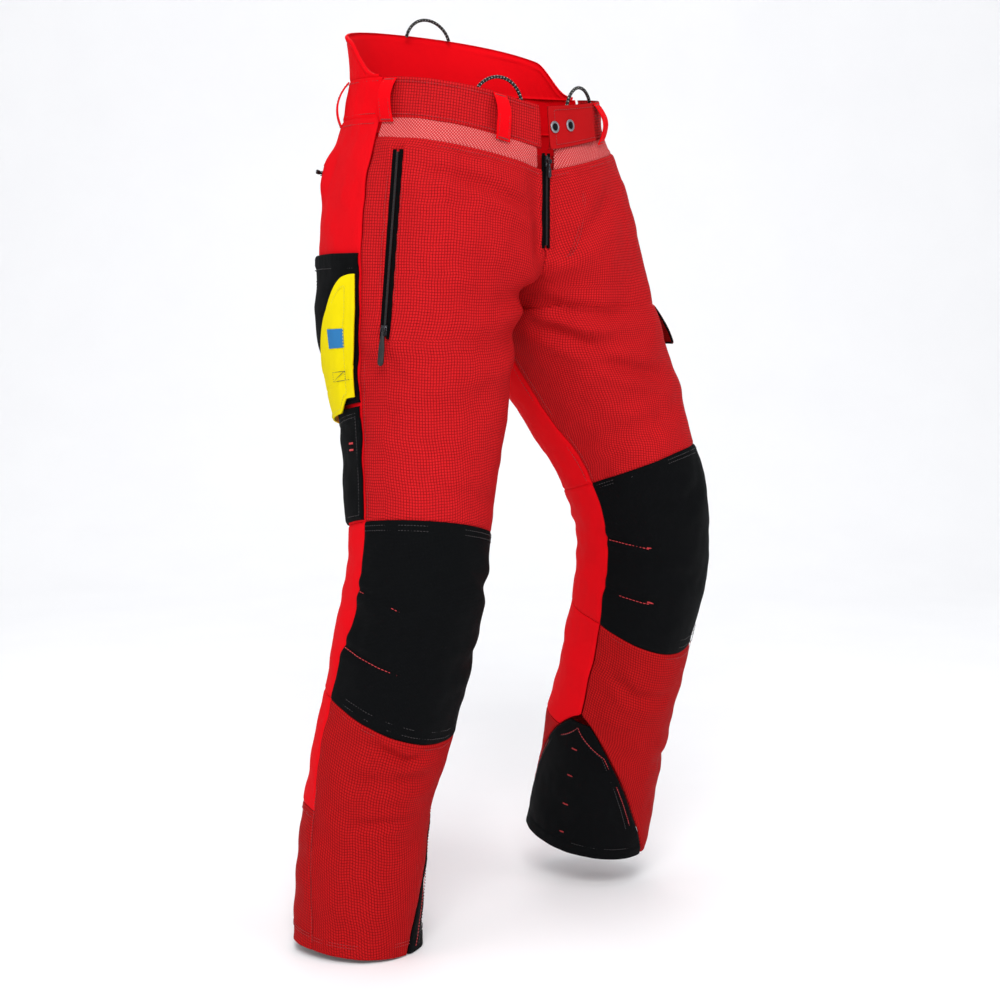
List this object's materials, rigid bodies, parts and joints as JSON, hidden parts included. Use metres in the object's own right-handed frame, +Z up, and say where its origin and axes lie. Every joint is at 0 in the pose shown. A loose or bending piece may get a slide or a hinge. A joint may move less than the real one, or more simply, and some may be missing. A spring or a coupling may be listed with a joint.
{
  "type": "protective trousers",
  "caption": "Forestry protective trousers worn open at waist and hems, with bent knees, raised kidney guard, knee patches, ankle guards, zip pockets and flaps.",
  "frame": {"origin": "centre of the waist opening at the top of the waistband", "axes": "+Z up towards the wearer's chest, -Y to the front, +X to the wearer's left"},
  "size_m": [0.5597, 0.3326, 1.1008],
  "materials": {
    "ripstop_red": "matte",
    "stretch_red": "matte",
    "guard_red": "matte",
    "shin_red": "matte",
    "tab_red": "matte",
    "mesh_red": "open mesh",
    "abrasion_black": "matte",
    "hi_vis_yellow": "matte",
    "cut_pad": "matte",
    "zip_tape": "matte",
    "zip_teeth": "satin",
    "zip_metal": "satin",
    "pull_cord": "matte",
    "elastic_cord": "matte",
    "snap_metal": "satin"
  },
  "bodies": {
    "trousers": {"waistband_front_r": "ripstop_red", "waistband_front_l": "ripstop_red", "waistband_back": "stretch_red", "kidney_guard": "guard_red", "vent_mesh_r": "mesh_red", "vent_mesh_l": "mesh_red", "front_thigh_r": "ripstop_red", "front_thigh_l": "ripstop_red", "back_leg_r": "stretch_red", "back_leg_l": "stretch_red", "knee_patch_r": "abrasion_black", "knee_patch_l": "abrasion_black", "back_knee_r": "stretch_red", "back_knee_l": "stretch_red", "cut_pad_thigh_r": "cut_pad", "cut_pad_thigh_l": "cut_pad", "cut_pad_knee_r": "cut_pad", "cut_pad_knee_l": "cut_pad", "fly_shield": "tab_red", "fly_zip_tape": "zip_tape", "fly_zip_teeth": "zip_teeth", "thigh_zip_tape_r": "zip_tape", "thigh_zip_teeth_r": "zip_teeth", "thigh_zip_tape_l": "zip_tape", "thigh_zip_teeth_l": "zip_teeth", "hip_zip_tape_r": "zip_tape", "hip_zip_teeth_r": "zip_teeth", "first_aid_pocket_r": "abrasion_black", "tool_pocket_r": "abrasion_black", "cargo_pocket_l": "abrasion_black", "belt_loops": "guard_red", "brace_loops": "elastic_cord", "snap_studs": "snap_metal"},
    "shin_r": {"front_shin_r": "shin_red", "back_calf_r": "stretch_red", "calf_cuff_r": "shin_red", "ankle_guard_r": "abrasion_black", "cut_pad_shin_r": "cut_pad"},
    "shin_l": {"front_shin_l": "shin_red", "back_calf_l": "stretch_red", "calf_cuff_l": "shin_red", "ankle_guard_l": "abrasion_black", "cut_pad_shin_l": "cut_pad"},
    "fly_slider": {"fly_zip_slider": "zip_metal"},
    "fly_pull": {"fly_zip_pull": "zip_metal"},
    "thigh_slider_r": {"thigh_zip_slider_r": "zip_metal"},
    "thigh_pull_r": {"thigh_zip_pull_r": "pull_cord"},
    "thigh_slider_l": {"thigh_zip_slider_l": "zip_metal"},
    "thigh_pull_l": {"thigh_zip_pull_l": "pull_cord"},
    "hip_slider_r": {"hip_zip_slider_r": "zip_metal"},
    "hip_pull_r": {"hip_zip_pull_r": "pull_cord"},
    "closure_tab": {"closure_tab": "tab_red", "snap_caps": "snap_metal"},
    "first_aid_flap": {"first_aid_flap_r": "hi_vis_yellow"},
    "cargo_flap": {"cargo_flap_l": "tab_red"}
  },
  "joints": [
    {"name": "knee_r", "type": "hinge", "parent": "trousers", "child": "shin_r", "pos_m": [-0.156, -0.064, -0.598], "axis": [0.9404, -0.3401, 0], "range_deg": [-18, 65], "deforming": ["knee_patch_r", "back_knee_r", "cut_pad_knee_r"]},
    {"name": "knee_l", "type": "hinge", "parent": "trousers", "child": "shin_l", "pos_m": [0.202, -0.094, -0.5388], "axis": [0.9023, 0.4311, 0], "range_deg": [-24, 60], "deforming": ["knee_patch_l", "back_knee_l", "cut_pad_knee_l"]},
    {"name": "fly_zip_slide", "type": "slide", "parent": "trousers", "child": "fly_slider", "axis": [0, 0, -1], "range_m": [0, 0.088]},
    {"name": "fly_zip_pull_hinge", "type": "hinge", "parent": "fly_slider", "child": "fly_pull", "pos_m": [0, -0.12718, -0.09632], "axis": [-1, 0, 0], "range_deg": [0, 150]},
    {"name": "thigh_zip_r_slide", "type": "slide", "parent": "trousers", "child": "thigh_slider_r", "axis": [0.1383, 0.0429, 0.9895], "range_m": [0, 0.194]},
    {"name": "thigh_zip_r_pull_hinge", "type": "hinge", "parent": "thigh_slider_r", "child": "thigh_pull_r", "pos_m": [-0.20684, -0.07089, -0.28814], "axis": [-0.388, 0.9215, 0.0143], "range_deg": [0, 150]},
    {"name": "thigh_zip_l_slide", "type": "slide", "parent": "trousers", "child": "thigh_slider_l", "axis": [-0.1717, 0.2038, 0.9638], "range_m": [0, 0.123]},
    {"name": "thigh_zip_l_pull_hinge", "type": "hinge", "parent": "thigh_slider_l", "child": "thigh_pull_l", "pos_m": [0.20348, -0.08621, -0.21837], "axis": [-0.3838, -0.9149, 0.125], "range_deg": [0, 150]},
    {"name": "hip_zip_r_slide", "type": "slide", "parent": "trousers", "child": "hip_slider_r", "axis": [0.8414, 0.5354, -0.0731], "range_m": [0, 0.107]},
    {"name": "hip_zip_r_pull_hinge", "type": "hinge", "parent": "hip_slider_r", "child": "hip_pull_r", "pos_m": [-0.15734, 0.09513, -0.10789], "axis": [-0.1681, 0.1308, -0.977], "range_deg": [0, 150]},
    {"name": "closure_tab_hinge", "type": "hinge", "parent": "trousers", "child": "closure_tab", "pos_m": [0.09061, -0.11056, -0.0459], "axis": [-0.0434, 0.1062, 0.9934], "range_deg": [0, 105]},
    {"name": "first_aid_flap_hinge", "type": "hinge", "parent": "trousers", "child": "first_aid_flap", "pos_m": [-0.20676, 0.04671, -0.22654], "axis": [0.3226, 0.9465, 0], "range_deg": [0, 80]},
    {"name": "cargo_flap_hinge", "type": "hinge", "parent": "trousers", "child": "cargo_flap", "pos_m": [0.21902, 0.00216, -0.26031], "axis": [0.1951, -0.9808, 0], "range_deg": [0, 80]}
  ]
}
